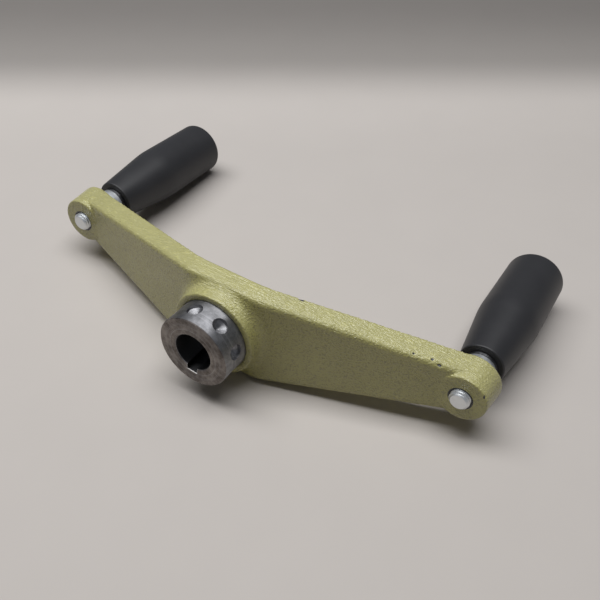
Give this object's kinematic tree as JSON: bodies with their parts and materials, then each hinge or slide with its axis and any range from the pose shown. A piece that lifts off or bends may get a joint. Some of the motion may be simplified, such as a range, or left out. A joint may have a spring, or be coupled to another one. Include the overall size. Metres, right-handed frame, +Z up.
{
  "type": "crank handle",
  "caption": "Dished cast crank arm on a keyed steel sleeve, with a free-turning moulded grip on a spindle at each end.",
  "frame": {"origin": "centre of the keyed bore at the front face of the steel sleeve", "axes": "+Y along the bore, from the sleeve's front face towards the grips; +X along the right arm; +Z up, square to both, with the keyway at the bottom"},
  "size_m": [0.2616, 0.1538, 0.0546],
  "materials": {
    "olive_paint": "gloss olive green paint with a fine hammered texture over the casting",
    "turned_steel": "fine turned, bare",
    "zinc_plate": "bright zinc plated, turned",
    "washer_steel": "plain stamped",
    "spring_steel": "oiled spring steel",
    "black_grip": "satin black moulded thermoset"
  },
  "bodies": {
    "crank": {"crank_arm": "olive_paint", "hub_sleeve": "turned_steel", "left_spindle": "zinc_plate", "right_spindle": "zinc_plate", "left_thrust_washer": "washer_steel", "right_thrust_washer": "washer_steel", "left_retaining_ring": "spring_steel", "right_retaining_ring": "spring_steel"},
    "left_grip": {"left_grip": "black_grip"},
    "right_grip": {"right_grip": "black_grip"}
  },
  "joints": [
    {"name": "left_grip_spin", "type": "hinge", "parent": "crank", "child": "left_grip", "pos_m": [-0.115, 0.1, 0], "axis": [0, 1, 0], "continuous": true},
    {"name": "right_grip_spin", "type": "hinge", "parent": "crank", "child": "right_grip", "pos_m": [0.115, 0.1, 0], "axis": [0, 1, 0], "continuous": true}
  ]
}
